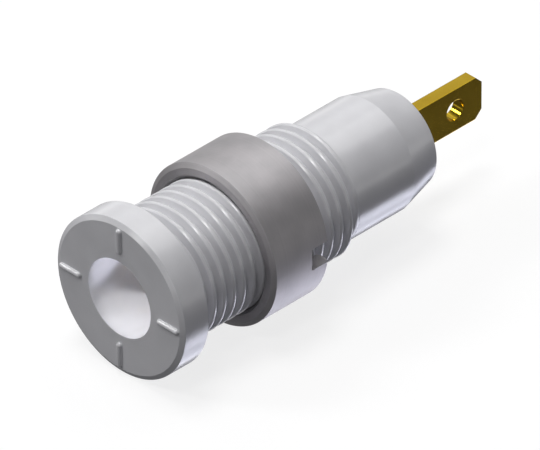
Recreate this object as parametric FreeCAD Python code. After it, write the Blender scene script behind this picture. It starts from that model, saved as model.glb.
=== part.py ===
import FreeCAD, Part
import os
from math import radians, sin, tan

# Safety panel socket for a 2 mm shrouded plug: an insulating housing that goes through a panel from
# the front, a ring nut that clamps it from behind, and a turned contact that ends in a flat tab.
# Millimetres. The socket's axis is Y: the plug comes in from -Y and the tab points to +Y. Y = 0 is
# the seat, the back face of the flange, where it meets the front of the panel. Z is up.

# Barrel: an M8 fine thread behind the flange, then a plain body as deep as the thread and a taper
thread_dia = 8.0
thread_depth = 0.45         # from the thread's crest to its root, and to the plain body
thread_len = 12.3
ridge_slope = 30.0          # back flank of the last ridge, in degrees from square
body_len = 5.0
tail_len = 2.3
tail_taper = 0.575          # what the tail loses on the radius

# Flange, the round head in front of the panel
flange_lip = 0.95           # how far it stands out past the barrel, which is the seat's width
flange_thick = 1.95

# Chamfer of the flange's front rim and of both the nut's rims
rim_cut_high = 0.3          # measured on the radius
rim_cut_long = 0.175        # and along the axis

# Grip ribs, half-round bars moulded on the flange's front face
rib_count = 4
rib_width = 0.38
rib_from_bore = 0.55        # from the bore's edge to the rib's inner end
rib_from_rim = 0.35         # from the rib's outer end to the flange's rim

# Bores of the housing from the front: the mouth, the shroud's bore, and the lip that stops the contact
mouth_dia = 4.8
mouth_depth = 3.6
mouth_step = 0.2            # a 45 degree step down to the shroud's bore
shroud_bore_depth = 13.5    # from the front face
lip_thick = 1.2

# Contact: a tube that takes the plug's pin, a barbed foot held in the housing, and the tab
pin_bore_dia = 2.0
pin_bore_depth = 11.5
pin_lead_in = 0.25
drill_point = 118.0         # angle of the drilled hole's end, in degrees
tube_wall = 0.55
tube_edge = 0.15
contact_setback = 0.3       # from the step to the contact's mouth, out of a finger's reach
shoulder = 0.45             # what the foot gains on the radius, to stop against the lip
barb_height = 0.12
barb_count = 3
foot_inset = 0.3            # the foot ends this far inside the housing's back end

# Flat tab for a push-on receptacle or solder
tab_width = 2.8
tab_thick = 0.8
tab_reach = 6.15            # from the housing's back end to the tab's tip
tab_corner = 0.5
tab_hole_dia = 1.3
tab_hole_from_tip = 2.1

# Ring nut, with spanner slots in its back face
nut_len = 4.3
nut_mouth = 0.15            # countersink at each end of its bore
slot_count = 2
slot_width = 1.4
slot_depth = 1.4
panel_gap = 5.05            # from the seat to the nut, where the panel goes

# Clearances, each on the radius
nut_clearance = 0.05        # the nut's bore over the thread's crest
nut_shy = 0.025             # the nut's outside under the flange's rim
tube_clearance = 0.1        # the lip's hole over the contact's tube
barb_clearance = 0.01       # the foot's seat over its barbs

# Radii that follow from the sizes
thread_r = thread_dia / 2
body_r = thread_r - thread_depth
tail_r = body_r - tail_taper
flange_r = thread_r + flange_lip
nut_r = flange_r - nut_shy
nut_bore_r = thread_r + nut_clearance
mouth_r = mouth_dia / 2
shroud_r = mouth_r - mouth_step
pin_r = pin_bore_dia / 2
tube_r = pin_r + tube_wall
lip_r = tube_r + tube_clearance
foot_r = tube_r + shoulder
barb_r = foot_r + barb_height
seat_r = barb_r + barb_clearance

# Places along the axis that follow from the sizes
front = -flange_thick
mouth_end = front + mouth_depth
contact_front = mouth_end + mouth_step + contact_setback
shroud_floor = front + shroud_bore_depth
lip_back = shroud_floor + lip_thick
ridge_end = thread_len + thread_depth * tan(radians(ridge_slope))
tail_start = thread_len + body_len
back = tail_start + tail_len
foot_back = back - foot_inset
tip = back + tab_reach
nut_front = panel_gap
nut_back = nut_front + nut_len


def point(radius, along):
    """A point of a turned outline, in the XY plane."""
    return FreeCAD.Vector(radius, along, 0)


def turned(start, *moves):
    """Revolve a closed outline about Y. A move is the next point, or two points for an arc through
    the first to the second; the outline closes by itself."""
    edges = []
    here = point(*start)
    for move in moves + (start,):
        if isinstance(move[0], tuple):
            over, there = point(*move[0]), point(*move[1])
            edges.append(Part.Arc(here, over, there).toShape())
        else:
            there = point(*move)
            edges.append(Part.makeLine(here, there))
        here = there
    face = Part.Face(Part.Wire(edges))
    solid = face.revolve(FreeCAD.Vector(0, 0, 0), FreeCAD.Vector(0, 1, 0), 360)
    if solid.Volume < 0:
        solid.reverse()
    return solid


def around_axis(shape, count):
    """Copies of a shape at even turns about the socket's axis, the first where it was made."""
    copies = []
    for i in range(count):
        copy = shape.copy()
        copy.rotate(FreeCAD.Vector(0, 0, 0), FreeCAD.Vector(0, 1, 0), 360.0 * i / count)
        copies.append(copy)
    return copies


def block(size, centre):
    """A box of this size about this centre."""
    corner = FreeCAD.Vector(*[c - s / 2 for c, s in zip(centre, size)])
    return Part.makeBox(*size, corner)


def grip_rib():
    """A bar with round ends along X, half of it sunk in the flange's front face."""
    half = rib_width / 2
    inner = mouth_r + rib_from_bore
    outer = flange_r - rib_from_rim
    slant = half * sin(radians(45))
    bar = turned(
        (0, inner),
        ((slant, inner + half - slant), (half, inner + half)),
        (half, outer - half),
        ((slant, outer - half + slant), (0, outer)),
    )
    bar.rotate(FreeCAD.Vector(0, 0, 0), FreeCAD.Vector(0, 0, 1), -90)
    bar.translate(FreeCAD.Vector(0, front, 0))
    return bar


def housing():
    """The insulating body, one moulding: flange, threaded barrel, plain body and tapered tail."""
    body = turned(
        (mouth_r, front),
        (flange_r - rim_cut_high, front),
        (flange_r, front + rim_cut_long),
        (flange_r, 0),
        (thread_r, 0),
        (thread_r, thread_len),
        (body_r, ridge_end),
        (body_r, tail_start),
        (tail_r, back),
        (seat_r, back),
        (seat_r, lip_back),
        (lip_r, lip_back),
        (lip_r, shroud_floor),
        (shroud_r, shroud_floor),
        (shroud_r, mouth_end + mouth_step),
        (mouth_r, mouth_end),
    )
    return body.fuse(around_axis(grip_rib(), rib_count)).removeSplitter()


def barbs():
    """Outline points of the foot's saw-tooth rings: each rises gently and drops square behind."""
    pitch = (foot_back - lip_back) / (barb_count + 1)
    points = []
    for i in range(barb_count):
        base = lip_back + pitch * (i + 0.5)
        top = base + pitch / 2
        points += [(foot_r, base), (barb_r, top), (foot_r, top)]
    return points


def contact():
    """The contact, one turned piece with its back end milled to a flat tab."""
    bore_end = contact_front + pin_bore_depth
    drill_tip = bore_end + pin_r / tan(radians(drill_point / 2))
    turning = turned(
        (pin_r + pin_lead_in, contact_front),
        (tube_r - tube_edge, contact_front),
        (tube_r, contact_front + tube_edge),
        (tube_r, lip_back),
        (foot_r, lip_back),
        *barbs(),
        (foot_r, foot_back),
        (0, foot_back),
        (0, drill_tip),
        (pin_r, bore_end),
        (pin_r, contact_front + pin_lead_in),
    )
    return turning.fuse(tab()).removeSplitter()


def tab():
    """The flat blade, with its corners cut and a hole for the receptacle's latch or a wire."""
    half, root = tab_width / 2, foot_back
    corners = [
        (root, -half),
        (tip - tab_corner, -half),
        (tip, tab_corner - half),
        (tip, half - tab_corner),
        (tip - tab_corner, half),
        (root, half),
    ]
    side = -tab_thick / 2
    outline = [FreeCAD.Vector(side, along, up) for along, up in corners]
    blade = Part.Face(Part.makePolygon(outline + outline[:1])).extrude(FreeCAD.Vector(tab_thick, 0, 0))
    hole = Part.makeCylinder(
        tab_hole_dia / 2,
        2 * tab_thick,
        FreeCAD.Vector(-tab_thick, tip - tab_hole_from_tip, 0),
        FreeCAD.Vector(1, 0, 0),
    )
    return blade.cut(hole)


def ring_nut():
    """The clamping nut: a turned ring with its rims chamfered and spanner slots milled in its back."""
    ring = turned(
        (nut_bore_r, nut_front + nut_mouth),
        (nut_bore_r + nut_mouth, nut_front),
        (nut_r - rim_cut_high, nut_front),
        (nut_r, nut_front + rim_cut_long),
        (nut_r, nut_back - rim_cut_long),
        (nut_r - rim_cut_high, nut_back),
        (nut_bore_r + nut_mouth, nut_back),
        (nut_bore_r, nut_back - nut_mouth),
    )
    slot = block((2 * nut_r, 2 * slot_depth, slot_width), (nut_r, nut_back, 0))
    return ring.cut(around_axis(slot, slot_count))


pieces = {
    "housing": housing(),
    "contact": contact(),
    "ring_nut": ring_nut(),
}

os.makedirs("parts", exist_ok=True)
for name, shape in pieces.items():
    shape.exportStep("parts/" + name + ".step")
    box = shape.BoundBox
    print(
        name,
        "valid" if shape.isValid() else "not valid",
        len(shape.Solids),
        "solid,",
        round(shape.Volume, 3),
        "mm3, Y",
        round(box.YMin, 3),
        "to",
        round(box.YMax, 3),
    )
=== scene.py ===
from math import atan2, radians

import bmesh
import bpy
import numpy as np
from mathutils import Matrix, Vector


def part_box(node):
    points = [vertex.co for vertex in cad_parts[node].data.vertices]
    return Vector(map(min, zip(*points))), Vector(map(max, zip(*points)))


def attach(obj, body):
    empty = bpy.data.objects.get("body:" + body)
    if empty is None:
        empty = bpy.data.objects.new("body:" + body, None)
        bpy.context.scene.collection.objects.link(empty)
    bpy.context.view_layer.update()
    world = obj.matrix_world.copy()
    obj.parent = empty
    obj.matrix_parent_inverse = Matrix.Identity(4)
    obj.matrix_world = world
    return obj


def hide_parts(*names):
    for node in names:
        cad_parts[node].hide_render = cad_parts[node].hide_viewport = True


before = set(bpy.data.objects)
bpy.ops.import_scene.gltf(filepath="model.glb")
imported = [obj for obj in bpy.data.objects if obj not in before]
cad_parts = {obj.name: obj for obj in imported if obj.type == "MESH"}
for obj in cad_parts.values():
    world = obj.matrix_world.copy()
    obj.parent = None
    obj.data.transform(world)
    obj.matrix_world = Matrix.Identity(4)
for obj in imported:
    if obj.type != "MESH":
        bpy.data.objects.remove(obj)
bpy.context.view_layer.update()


# The housing is one moulding in light grey plastic, put through the panel from the front. Behind its
# round head run an M8 x 0.75 thread, a plain body and a tapered tail, and the plug goes in from the
# front. Sizes here and below are millimetres: radii, and places along the axis, which is Y.
mm = 0.001
housing_low, housing_high = (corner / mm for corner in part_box("housing"))

rib_high = 0.19
head_r = housing_high.x
head_front = housing_low.y + rib_high
crest_r = 4.0
root_r = 3.55
body_back = 17.3
tail_r = 2.975
tail_back = housing_high.y
mouth_r = 2.4
mouth_end = head_front + 3.6
shroud_r = 2.2
shroud_floor = 11.55
lip_r = 1.65
lip_back = 12.75
seat_r = 2.13
soft_edge = 0.06
inner_edge = 0.03

# Chamfer of the head's front rim and of both the nut's rims, on the radius and along the axis
rim_cut_high = 0.3
rim_cut_long = 0.175

# The thread. Its flanks lean 20 degrees from square to the axis, and the cuts beside its crest fall
# off at 30 degrees. It grows, and later runs out, between two places along the helix, in turns
pitch = 0.75
flank_slope = 20.0
crest_flat = 0.08
crest_cut = 0.09
crest_slope = 30.0
crest_edge = 0.02
first_crest = 0.54
grown_from, grown_at = -0.31, 0.0
run_out_from, run_out_at = 15.92, 16.45
thread_stop = 13.4

# Columns of a surface round the axis, and the angle of each
columns = 192
around = np.arange(columns) * 2 * np.pi / columns


def rounded(corners, steps=4):
    """An outline through corners (radius, along, rounding): each corner becomes an arc of that rounding,
    which touches both its sides. Gives the radii and the places along the axis."""
    places = np.array([corner[:2] for corner in corners], float)
    points = [places[0]]
    for i in range(1, len(corners) - 1):
        before = places[i - 1] - places[i]
        after = places[i + 1] - places[i]
        before /= np.linalg.norm(before)
        after /= np.linalg.norm(after)
        half = np.arccos(before @ after) / 2
        rounding = corners[i][2]
        inwards = (before + after) / np.linalg.norm(before + after)
        centre = inwards * rounding / np.sin(half)
        start = before * rounding / np.tan(half) - centre
        stop = after * rounding / np.tan(half) - centre
        share = np.linspace(0, 1, steps + 1)[:, None]
        arm = start * (1 - share) + stop * share
        arm *= rounding / np.linalg.norm(arm, axis=1)[:, None]
        points.extend(places[i] + centre + arm)
    points.append(places[-1])
    return np.array(points).T


def smoothstep(value, low, high):
    """Rises from 0 at low to 1 at high along 3t^2 - 2t^3."""
    t = np.clip((value - low) / (high - low), 0, 1)
    return t * t * (3 - 2 * t)


# One pitch of the thread, from root to root: heights over the root, and places beside the crest. The
# crest's edges are cut, so that between the flanks it is a narrow flat with a slope on each side
crest_high = crest_r - root_r
cut_high = crest_high - crest_cut * np.tan(radians(crest_slope))
cut_from = crest_flat / 2 + crest_cut
tooth_foot = cut_from + cut_high * np.tan(radians(flank_slope))
tooth = rounded([
    (0, -pitch / 2, 0),
    (0, -tooth_foot, crest_edge),
    (cut_high, -cut_from, crest_edge),
    (crest_high, -crest_flat / 2, crest_edge),
    (crest_high, crest_flat / 2, crest_edge),
    (cut_high, cut_from, crest_edge),
    (0, tooth_foot, crest_edge),
    (0, pitch / 2, 0),
], steps=1)[:, :-1]


def thread(root, low, high, share):
    """Rows of a right-hand thread between two places along the axis. Each row follows the helix
    y = first_crest + pitch * (turns + t / 2 pi), with t the angle round the axis, so the edges of the
    teeth lie on rows, and a row that would pass an end stays on it. The share of its full height that
    a tooth has depends on how many turns along the helix it is."""
    spare = 2
    first = int((low - first_crest) / pitch) - spare
    last = int((high - first_crest) / pitch) + spare
    turns = np.repeat(np.arange(first, last), tooth.shape[1])[:, None] + around / (2 * np.pi)
    height, beside = np.tile(tooth, last - first)[..., None]
    along = np.clip(first_crest + pitch * turns + beside, low, high)
    return root + share(turns) * height, along


def turned(outline):
    """Rows of a turned surface: each point of the outline goes round the axis in a circle."""
    radius, along = np.repeat(outline[..., None], columns, 2)
    return radius, along


def round_axis(radius, along):
    """Points at angle t from the top towards +X: x = radius sin t, y = along, z = radius cos t."""
    return np.stack([radius * np.sin(around), along, radius * np.cos(around)], -1)


def skin(name, points, seam=None, closed=True):
    """A closed mesh, in millimetres, over points [row, column, xyz]. Columns close on themselves, and
    so do rows unless the first and last are poles. Where rows follow a helix, seam gives the row that
    each one meets after a turn. Points that fall together are merged, and the faces point outwards."""
    same_place = 1e-5
    rows, count = points.shape[:2]
    index = np.arange(rows * count).reshape(rows, count)
    index = np.column_stack([index, index[:, 0] if seam is None else index[seam, 0]])
    if closed:
        index = np.vstack([index, index[:1]])
    quads = np.stack([index[:-1, :-1], index[:-1, 1:], index[1:, 1:], index[1:, :-1]], -1)
    mesh = bpy.data.meshes.new(name)
    mesh.from_pydata(points.reshape(-1, 3).tolist(), [], quads.reshape(-1, 4).tolist())
    shape = bmesh.new()
    shape.from_mesh(mesh)
    bmesh.ops.remove_doubles(shape, verts=shape.verts, dist=same_place)
    if shape.calc_volume(signed=True) < 0:
        bmesh.ops.reverse_faces(shape, faces=shape.faces)
    shape.to_mesh(mesh)
    shape.free()
    return mesh


def worked(mesh, kind, **settings):
    """The mesh as a modifier of this kind leaves it."""
    blank = bpy.data.objects.new(mesh.name, mesh)
    bpy.context.scene.collection.objects.link(blank)
    modifier = blank.modifiers.new(kind, kind)
    for setting, value in settings.items():
        setattr(modifier, setting, value)
    graph = bpy.context.evaluated_depsgraph_get()
    result = bpy.data.meshes.new_from_object(
        blank.evaluated_get(graph), preserve_all_data_layers=True, depsgraph=graph)
    bpy.data.objects.remove(blank)
    return result


def combine(mesh, other, how):
    """One mesh of two closed ones: the other is added to the first or cut out of it."""
    tool = bpy.data.objects.new(other.name, other)
    bpy.context.scene.collection.objects.link(tool)
    result = worked(mesh, "BOOLEAN", operation=how, solver="MANIFOLD", object=tool)
    bpy.data.objects.remove(tool)
    return result


def grown(turns):
    """The housing's thread grows out of the neck behind the head and runs out into the plain body."""
    return smoothstep(turns, grown_from, grown_at) * (1 - smoothstep(turns, run_out_from, run_out_at))


# The rows start and end on the flat face, run back along the outside and come forward through the bore
face_middle = (mouth_r + head_r) / 2
face_inner = face_middle - 0.5
blocks = [
    turned(rounded([
        (face_middle, head_front, 0),
        (head_r - rim_cut_high, head_front, inner_edge),
        (head_r, head_front + rim_cut_long, inner_edge),
        (head_r, 0, soft_edge),
        (root_r, 0, 0),
    ])),
    thread(root_r, 0, thread_stop, grown),
    turned(rounded([
        (root_r, thread_stop + pitch, 0),
        (root_r, body_back, inner_edge),
        (tail_r, tail_back, soft_edge),
        (seat_r, tail_back, soft_edge),
        (seat_r, lip_back, inner_edge),
        (lip_r, lip_back, inner_edge),
        (lip_r, shroud_floor, inner_edge),
        (shroud_r, shroud_floor, inner_edge),
        (shroud_r, mouth_end + mouth_r - shroud_r, inner_edge),
        (mouth_r, mouth_end, inner_edge),
        (mouth_r, head_front, inner_edge),
        (face_inner, head_front, 0),
    ])),
]
# After a turn, a row of the thread meets the same row of the next tooth, and any other row itself
before, threaded = len(blocks[0][0]), len(blocks[1][0])
seam = np.arange(sum(len(block[0]) for block in blocks))
helix = np.arange(threaded)
seam[before:before + threaded] = before + np.minimum(helix + tooth.shape[1], threaded - 1)
housing_points = round_axis(*(np.vstack(part) for part in zip(*blocks)))
housing_mesh = skin("housing_moulding", housing_points, seam)

# Four grip ribs on the head's face: half-round bars with round ends, sunk to their middle
rib_inner = mouth_r + 0.55
rib_outer = head_r - 0.35
rib_count = 4
rib_columns = 32
rib_end_rows = 9


def rib(angle):
    """A bar of round section along a spoke at this angle: its radius is that of the bar between the
    round ends, and the square root of r^2 - d^2 at a distance d past the start of an end."""
    swing = np.linspace(-np.pi / 2, 0, rib_end_rows)
    place = np.concatenate([
        rib_inner + rib_high * (1 + np.sin(swing)),
        rib_outer - rib_high * (1 + np.sin(swing[::-1])),
    ])[:, None]
    girth = rib_high * np.concatenate([np.cos(swing), np.cos(swing[::-1])])[:, None]
    turn = np.linspace(0, 2 * np.pi, rib_columns, endpoint=False)
    across = girth * np.cos(turn)
    return np.stack([
        place * np.sin(angle) + across * np.cos(angle),
        head_front + girth * np.sin(turn),
        place * np.cos(angle) - across * np.sin(angle),
    ], -1)


for number in range(rib_count):
    bar = skin("grip_rib", rib(2 * np.pi * number / rib_count), closed=False)
    housing_mesh = combine(housing_mesh, bar, "UNION")


def blank_material(name):
    """A new material, its nodes and its shader."""
    material = bpy.data.materials.new(name)
    material.use_nodes = True
    return material, material.node_tree, material.node_tree.nodes["Principled BSDF"]


def put(tree, kind, inputs, **settings):
    """A shader node with these settings. An input is a value, or another node's output."""
    node = tree.nodes.new(kind)
    for setting, value in settings.items():
        setattr(node, setting, value)
    for name, value in inputs.items():
        if isinstance(value, bpy.types.NodeSocket):
            tree.links.new(value, node.inputs[name])
        else:
            node.inputs[name].default_value = value
    return node


def in_millimetres(tree):
    """The place on the piece, in millimetres."""
    place = put(tree, "ShaderNodeTexCoord", {})
    return put(tree, "ShaderNodeVectorMath", {0: place.outputs["Object"], "Scale": 1 / mm},
               operation="SCALE").outputs["Vector"]


def noise(tree, place, scale, detail=3.0):
    """A noise of so many blotches to a unit of the place."""
    return put(tree, "ShaderNodeTexNoise", {
        "Vector": place, "Scale": scale, "Detail": detail,
    }).outputs["Fac"]


def tones(tree, value, first, second, low=0.35, high=0.65):
    """A colour that goes from the first to the second as the value goes from low to high."""
    ramp = put(tree, "ShaderNodeValToRGB", {"Fac": value})
    ramp.color_ramp.elements[0].position = low
    ramp.color_ramp.elements[0].color = (*first, 1)
    ramp.color_ramp.elements[1].position = high
    ramp.color_ramp.elements[1].color = (*second, 1)
    return ramp.outputs["Color"]


def spread(tree, value, low, high):
    """The value of a noise, from 0.3 to 0.7, spread over low to high."""
    return put(tree, "ShaderNodeMapRange", {
        "Value": value, "From Min": 0.3, "From Max": 0.7, "To Min": low, "To Max": high,
    }).outputs["Result"]


def finished(tree, shader, colour, roughness, relief, depth):
    """Gives the shader a colour, a roughness and a fine relief of this depth, in metres."""
    bump = put(tree, "ShaderNodeBump", {"Height": relief, "Strength": 0.5, "Distance": depth})
    tree.links.new(colour, shader.inputs["Base Color"])
    tree.links.new(roughness, shader.inputs["Roughness"])
    tree.links.new(bump.outputs["Normal"], shader.inputs["Normal"])


def moulded_plastic():
    """Satin plastic off a fine eroded mould: close tones of grey, uneven gloss and a fine grain."""
    grey, pale_grey = (0.7, 0.698, 0.722), (0.75, 0.748, 0.772)
    glossiest, dullest = 0.21, 0.27
    grain_depth = 2e-6
    material, tree, shader = blank_material("moulded_plastic")
    shader.inputs["Specular IOR Level"].default_value = 1.0
    place = in_millimetres(tree)
    cloud = noise(tree, place, 0.45)
    flow = noise(tree, place, 2.2, 4.0)
    grain = noise(tree, place, 11.0, 2.0)
    roughness = spread(tree, flow, glossiest, dullest)
    finished(tree, shader, tones(tree, cloud, grey, pale_grey), roughness, grain, grain_depth)
    return material


def show(name, mesh, material):
    """A piece of this mesh, brought to metres. It is smooth but for its crisp edges, and a flat face
    stays flat up to its rounded rim, because a larger face has more say in the rim's normals."""
    crisp_from = radians(38)
    mesh.shade_smooth()
    mesh.set_sharp_from_angle(angle=crisp_from)
    mesh = worked(mesh, "WEIGHTED_NORMAL", keep_sharp=True)
    mesh.transform(Matrix.Scale(mm, 4))
    mesh.materials.clear()
    mesh.materials.append(material)
    piece = bpy.data.objects.new(name, mesh)
    bpy.context.scene.collection.objects.link(piece)
    return piece


housing = show("housing_moulding", housing_mesh, moulded_plastic())
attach(housing, "socket")
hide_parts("housing")


# The ring nut clamps the housing from behind the panel. It is turned from brass and nickel-plated,
# threaded to run on the housing, with both rims chamfered and two spanner slots milled in its back.
nut_low, nut_high = (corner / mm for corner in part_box("ring_nut"))
nut_front, nut_back, nut_r = nut_low.y, nut_high.y, nut_high.x
nut_clearance = 0.05
nut_mouth_r = crest_r + nut_clearance + 0.15
nut_face_middle = (nut_mouth_r + nut_r) / 2
nut_edge = 0.03
slot_width = 1.4
slot_depth = 1.4
slot_corner = 0.1
cutter_from, cutter_to = root_r - 0.4, nut_r + 0.5

# The bore's thread is full all the way, but for a 45 degree countersink at each end
bore_radius, bore_along = thread(root_r + nut_clearance, nut_front, nut_back, np.ones_like)
from_end = np.minimum(bore_along - nut_front, nut_back - bore_along)
bore_radius = np.maximum(bore_radius, nut_mouth_r - from_end)
outside = turned(rounded([
    (nut_face_middle, nut_back, 0),
    (nut_r - rim_cut_high, nut_back, nut_edge),
    (nut_r, nut_back - rim_cut_long, nut_edge),
    (nut_r, nut_front + rim_cut_long, nut_edge),
    (nut_r - rim_cut_high, nut_front, nut_edge),
    (nut_face_middle, nut_front, 0),
]))
nut_points = round_axis(np.vstack([bore_radius, outside[0]]), np.vstack([bore_along, outside[1]]))
nut_seam = np.arange(len(nut_points))
threaded = len(bore_radius)
nut_seam[:threaded] = np.minimum(nut_seam[:threaded] + tooth.shape[1], threaded - 1)
nut_mesh = skin("ring_nut_turning", nut_points, nut_seam)


def slot_cutter(side):
    """The milling cutter's path: a bar along X, from inside the bore to outside the rim, whose section
    is the slot with its floor's corners rounded. The section closes to a point at both ends."""
    half = slot_width / 2
    width, along = rounded([
        (0, nut_back + slot_depth, 0),
        (half, nut_back + slot_depth, slot_corner),
        (half, nut_back - slot_depth, slot_corner),
        (-half, nut_back - slot_depth, slot_corner),
        (-half, nut_back + slot_depth, slot_corner),
        (0, nut_back + slot_depth, 0),
    ])
    size = np.array([0, 1, 1, 0])[:, None]
    reach = np.array([cutter_from, cutter_from, cutter_to, cutter_to])[:, None]
    return np.stack([
        side * reach + 0 * width[:-1],
        nut_back + size * (along[:-1] - nut_back),
        size * width[:-1],
    ], -1)


for side in (1, -1):
    nut_mesh = combine(nut_mesh, skin("spanner_slot", slot_cutter(side), closed=False), "DIFFERENCE")


def turning_marks(tree, place, fineness):
    """A noise that runs in rings: it changes with the radius on a face and with the place along the
    axis on the outside, as the marks of a turning tool do."""
    parts = put(tree, "ShaderNodeSeparateXYZ", {"Vector": place})
    spoke = put(tree, "ShaderNodeCombineXYZ", {"X": parts.outputs["X"], "Z": parts.outputs["Z"]})
    radius = put(tree, "ShaderNodeVectorMath", {0: spoke.outputs["Vector"]}, operation="LENGTH")
    path = put(tree, "ShaderNodeMath", {
        0: radius.outputs["Value"], 1: parts.outputs["Y"],
    }, operation="ADD")
    return put(tree, "ShaderNodeTexNoise", {
        "W": path.outputs["Value"], "Scale": fineness, "Detail": 3.0,
    }, noise_dimensions="1D").outputs["Fac"]


def nickel_plate():
    """Satin nickel over turned brass: fine rings off the tool, and gloss that varies a little."""
    nickel, bright_nickel = (0.5, 0.485, 0.495), (0.56, 0.54, 0.55)
    glossiest, dullest = 0.54, 0.62
    ring_depth = 2e-6
    material, tree, shader = blank_material("nickel_plate")
    shader.inputs["Metallic"].default_value = 1.0
    place = in_millimetres(tree)
    cloud = noise(tree, place, 0.6)
    rings = turning_marks(tree, place, 9.0)
    roughness = spread(tree, rings, glossiest, dullest)
    finished(tree, shader, tones(tree, cloud, nickel, bright_nickel), roughness, rings, ring_depth)
    return material


ring_nut = show("ring_nut_turning", nut_mesh, nickel_plate())
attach(ring_nut, "nut")
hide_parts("ring_nut")


# The contact takes the plug's pin in a tube, is held by barbs in the housing's back, and ends in a
# flat tab with a hole. It is turned from brass, the tab is milled, and the whole is gold-plated.
contact_low, contact_high = (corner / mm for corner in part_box("contact"))
tube_front = contact_low.y
pin_r = 1.0
lead_in = 0.25
pin_depth = 11.5
drill_half_angle = 59.0
tube_r = 1.55
tube_edge = 0.15
foot_r = 2.0
barb_r = 2.12
barb_count = 3
foot_back = tail_back - 0.3
fine_edge = 0.03

tab_tip = contact_high.y
tab_half = 1.4
tab_corner = 0.5
tab_thick = 0.8
tab_hole_r = 0.65
tab_hole_y = tab_tip - 2.1
tab_edge = 0.04
tab_rooted = 0.6
tab_columns = 96
tab_edge_rows = 4

# The foot's barbs, which rise gently and drop square behind
barb_pitch = (foot_back - lip_back) / (barb_count + 1)
barbs = []
for number in range(barb_count):
    base = lip_back + barb_pitch * (number + 0.5)
    barbs += [
        (foot_r, base, fine_edge),
        (barb_r, base + barb_pitch / 2, fine_edge),
        (foot_r, base + barb_pitch / 2, fine_edge),
    ]
bore_end = tube_front + pin_depth
contact_mesh = skin("contact_turning", round_axis(*turned(rounded([
    (0, foot_back, 0),
    (foot_r, foot_back, fine_edge),
    *barbs[::-1],
    (foot_r, lip_back, fine_edge),
    (tube_r, lip_back, fine_edge),
    (tube_r, tube_front + tube_edge, fine_edge),
    (tube_r - tube_edge, tube_front, fine_edge),
    (pin_r + lead_in, tube_front, fine_edge),
    (pin_r, tube_front + lead_in, fine_edge),
    (pin_r, bore_end, fine_edge),
    (0, bore_end + pin_r / np.tan(radians(drill_half_angle)), 0),
]))), closed=False)


def tab():
    """The flat blade as a ring about its hole: at an angle t from the tip towards the top it reaches
    from the hole's wall to the blade's edge, which is the nearest of the lines d / cos(t - a) that
    stand at a distance d from the hole's centre and face an angle a."""
    sides = [(tab_tip - tab_hole_y, 0.0), (tab_hole_y - foot_back + tab_rooted, np.pi)]
    sides += [(tab_half, side * np.pi / 2) for side in (1, -1)]
    cut = (tab_tip - tab_hole_y + tab_half - tab_corner) / np.sqrt(2)
    sides += [(cut, side * np.pi / 4) for side in (1, -1)]
    corners = [
        (tab_tip - tab_hole_y, tab_half - tab_corner),
        (tab_tip - tab_hole_y - tab_corner, tab_half),
        (foot_back - tab_rooted - tab_hole_y, tab_half),
    ]
    angles = [side * atan2(up, along) for along, up in corners for side in (1, -1)]
    turn = np.sort(np.concatenate([np.linspace(-np.pi, np.pi, tab_columns, endpoint=False), angles]))
    swing = np.linspace(0, np.pi / 2, tab_edge_rows)
    inset = tab_edge * (1 - np.cos(swing))
    lift = tab_thick / 2 - tab_edge * (1 - np.sin(swing))

    def edge(inwards):
        """The distance to the blade's edge, moved inwards by a little. Lines that face away from a
        spoke, or only graze it, don't count."""
        grazing = 0.01
        facing = np.cos(turn - np.array([angle for _, angle in sides])[:, None])
        reach = np.array([away for away, _ in sides])[:, None] - inwards
        return np.where(facing > grazing, reach / np.maximum(facing, grazing), np.inf).min(0)

    outer = np.array([edge(step) for step in inset])
    hole = np.repeat(tab_hole_r + inset[:, None], len(turn), 1)
    reach = np.vstack([outer, hole[::-1], hole, outer[::-1]])
    across = np.concatenate([lift, lift[::-1], -lift, -lift[::-1]])[:, None]
    return np.stack([
        across + 0 * reach,
        tab_hole_y + reach * np.cos(turn),
        reach * np.sin(turn),
    ], -1)


contact_mesh = combine(contact_mesh, skin("tab", tab()), "UNION")


def gold_plate():
    """Gold over milled brass: a warm yellow with fine marks along the blade."""
    gold, bright_gold = (0.56, 0.37, 0.024), (0.62, 0.42, 0.03)
    glossiest, dullest = 0.13, 0.16
    mark_depth = 1.5e-7
    along_the_blade = (1.0, 0.06, 1.0)
    material, tree, shader = blank_material("gold_plate")
    shader.inputs["Metallic"].default_value = 1.0
    place = in_millimetres(tree)
    stretched = put(tree, "ShaderNodeMapping", {"Vector": place, "Scale": along_the_blade})
    cloud = noise(tree, place, 0.8)
    marks = noise(tree, stretched.outputs["Vector"], 14.0)
    roughness = spread(tree, marks, glossiest, dullest)
    finished(tree, shader, tones(tree, cloud, gold, bright_gold), roughness, marks, mark_depth)
    return material


contact = show("contact_turning", contact_mesh, gold_plate())
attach(contact, "socket")
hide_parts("contact")


# The table under the socket: a plain white sheet that touches the head's rim, four metres across. It
# is seen by the camera alone and shows the socket's shadow: most of its white is its own, and the
# rest is the lamps' light, which the socket keeps off it.
floor_reach = 2.0
floor_level = -head_r * mm
floor_mesh = bpy.data.meshes.new("table")
floor_mesh.from_pydata([
    (-floor_reach, -floor_reach, floor_level),
    (floor_reach, -floor_reach, floor_level),
    (floor_reach, floor_reach, floor_level),
    (-floor_reach, floor_reach, floor_level),
], [], [(0, 1, 2, 3)])
paper, _, paper_shader = blank_material("white_paper")
paper_shader.inputs["Base Color"].default_value = (0.24, 0.24, 0.24, 1)
paper_shader.inputs["Roughness"].default_value = 1.0
paper_shader.inputs["Specular IOR Level"].default_value = 0.0
paper_shader.inputs["Emission Color"].default_value = (1, 1, 1, 1)
paper_shader.inputs["Emission Strength"].default_value = 0.78
floor_mesh.materials.append(paper)
table = bpy.data.objects.new("table", floor_mesh)
bpy.context.scene.collection.objects.link(table)
table.visible_diffuse = False
table.visible_glossy = False
table.visible_transmission = False
table.visible_shadow = False


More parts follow.
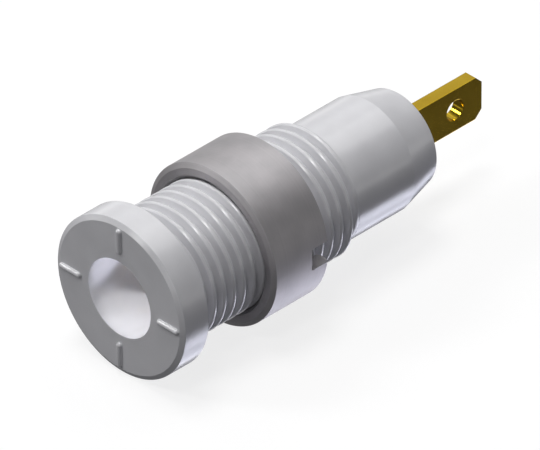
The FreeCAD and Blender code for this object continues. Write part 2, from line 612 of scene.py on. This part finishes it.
# Soft studio light: lamps all round, the cooler ones below, and a dim room. Two narrow spot lamps
# shine into the mouth, past the face, so that its wall is seen. The lamps' sizes and distances are
# metres.
socket_middle = Vector((0, 10, 0)) * mm
mouth_middle = Vector((0, head_front, 0)) * mm
lamp_distance = 0.45
spot_distance = 0.2
beam_r = mouth_r - 0.1
beam_edge = 0.12
bulb_r = 0.2
white = (1.0, 1.0, 1.0)
cool = (0.85, 0.86, 1.0)


def place_lamp(light, place):
    """Puts a lamp into the scene."""
    holder = bpy.data.objects.new(light.name, light)
    bpy.context.scene.collection.objects.link(holder)
    holder.matrix_world = place


def lamp(name, direction, size, strength, colour):
    """A square lamp that shines from a direction on the socket's middle. Its strength is the
    brightness that it gives to a white surface facing it."""
    light = bpy.data.lights.new(name, "AREA")
    light.shape = "SQUARE"
    light.size = size
    light.energy = strength * (np.pi * lamp_distance) ** 2
    light.color = colour
    away = Vector(direction).normalized()
    place_lamp(light, Matrix.Translation(socket_middle + away * lamp_distance)
               @ away.to_track_quat("Z", "Y").to_matrix().to_4x4())


def mouth_spot(name, direction, strength, colour):
    """A spot lamp whose beam is flattened by its slant to the face, so that it fills the mouth and
    leaves the face round it dark."""
    light = bpy.data.lights.new(name, "SPOT")
    light.energy = strength * (2 * np.pi * spot_distance) ** 2
    light.color = colour
    light.shadow_soft_size = bulb_r * mm
    light.spot_size = 2 * np.arctan(beam_r * mm / spot_distance)
    light.spot_blend = beam_edge
    away = Vector(direction).normalized()
    across = away.cross(Vector((0, 1, 0))).normalized()
    turn = Matrix((across, away.cross(across), away)).transposed().to_4x4()
    place_lamp(light, Matrix.Translation(mouth_middle + away * spot_distance)
               @ turn @ Matrix.Diagonal((1, -away.y, 1, 1)))


lamp("lamp_above", (-0.15, -0.05, 0.98), 0.15, 0.4, white)
lamp("lamp_above_left", (-0.75, 0.1, 0.65), 0.2, 0.1, white)
lamp("lamp_above_behind_left", (-0.5, 0.58, 0.65), 0.25, 0.065, white)
lamp("lamp_above_behind", (0.0, 0.58, 0.81), 0.28, 0.16, white)
lamp("lamp_above_in_front", (0.24, -0.4, 0.88), 0.08, 0.13, white)
lamp("lamp_in_front_left", (-0.55, -0.55, 0.63), 0.1, 0.26, white)
lamp("lamp_in_front", (-0.32, -0.91, 0.26), 0.08, 0.045, white)
lamp("lamp_behind_left", (-0.8, 0.58, -0.1), 0.4, 0.06, white)
lamp("lamp_below_behind_right", (0.36, 0.58, -0.73), 0.1, 0.075, cool)
lamp("lamp_below_behind", (0.04, 0.58, -0.81), 0.22, 0.2, cool)
lamp("lamp_below_left", (-0.25, 0.35, -0.9), 0.2, 0.06, white)
mouth_spot("spot_from_above", (-0.06, -0.67, 0.74), 0.8, white)
mouth_spot("spot_from_below", (0.45, -0.65, -0.61), 1.12, cool)

# The room is dim, and a pale strip along the horizon is the background of level views. It lies a
# little low, because it also shows past the table's far edge
dim = (0.1, 0.1, 0.105)
pale = (0.95, 0.95, 0.95)
strip_drop = 0.02
strip_low, strip_high = 0.065, 0.075

room = bpy.data.worlds.new("room")
bpy.context.scene.world = room
room.use_nodes = True
room_tree = room.node_tree
gaze = put(room_tree, "ShaderNodeTexCoord", {})
parts = put(room_tree, "ShaderNodeSeparateXYZ", {"Vector": gaze.outputs["Generated"]})
over_strip = put(room_tree, "ShaderNodeMath", {0: parts.outputs["Z"], 1: strip_drop}, operation="ADD")
steepness = put(room_tree, "ShaderNodeMath", {0: over_strip.outputs["Value"]}, operation="ABSOLUTE")
strip = tones(room_tree, steepness.outputs["Value"], pale, dim, strip_low, strip_high)
background = put(room_tree, "ShaderNodeBackground", {"Color": strip})
ray = put(room_tree, "ShaderNodeLightPath", {})
in_sight = put(room_tree, "ShaderNodeMath", {
    0: ray.outputs["Is Camera Ray"], 1: ray.outputs["Is Glossy Ray"],
}, operation="ADD")
in_sight = put(room_tree, "ShaderNodeMath", {
    0: in_sight.outputs["Value"], 1: ray.outputs["Is Transmission Ray"],
}, operation="ADD")
lit = room_tree.nodes["Background"]
lit.inputs["Color"].default_value = (*dim, 1)
either = put(room_tree, "ShaderNodeMixShader", {
    "Fac": in_sight.outputs["Value"], 1: lit.outputs["Background"], 2: background.outputs["Background"],
})
room_tree.links.new(either.outputs["Shader"], room_tree.nodes["World Output"].inputs["Surface"])


# The camera looks from the front, right and above, as in an isometric drawing. Its lens is so long
# that parallel edges stay parallel within a pixel, and two points of the axis, in the seat's plane
# and at the housing's back end, fall on their pixels in the photograph, which is 540 x 450.
photo_width, photo_height = 540, 450
seat_pixel = (144.9, 283.6)
back_pixel = (398.4, 137.3)
lens, sensor = 1200.0, 36.0

# The rows are the directions to the right, up and towards the camera
view_axes = np.array([(1, 1, 0), (-1, 1, 2), (1, -1, 1)]) / np.sqrt([[2], [6], [3]])
focal = photo_width * lens / sensor
points = view_axes @ np.array([(0, 0, 0), (0, tail_back * mm, 0)]).T
offsets = np.array([
    (seat_pixel[0] - photo_width / 2, photo_height / 2 - seat_pixel[1]),
    (back_pixel[0] - photo_width / 2, photo_height / 2 - back_pixel[1]),
]).T
# A point shows at an offset from the picture's centre, and offset * (distance - depth) is focal * (its
# place - the middle's), so two points give the camera's distance and the middle that it looks at
distance = (focal * (points[0, 0] - points[0, 1]) + offsets[0, 0] * points[2, 0]
            - offsets[0, 1] * points[2, 1]) / (offsets[0, 0] - offsets[0, 1])
middle = points[:2, 0] - offsets[:, 0] * (distance - points[2, 0]) / focal

camera_data = bpy.data.cameras.new("camera")
camera_data.lens = lens
camera_data.sensor_width = sensor
camera = bpy.data.objects.new("camera", camera_data)
bpy.context.scene.collection.objects.link(camera)
camera_place = np.array([*middle, distance]) @ view_axes
camera.matrix_world = Matrix.Translation(camera_place) @ Matrix(view_axes.T.tolist()).to_4x4()
bpy.context.scene.camera = camera
bpy.context.scene.view_settings.view_transform = "Standard"
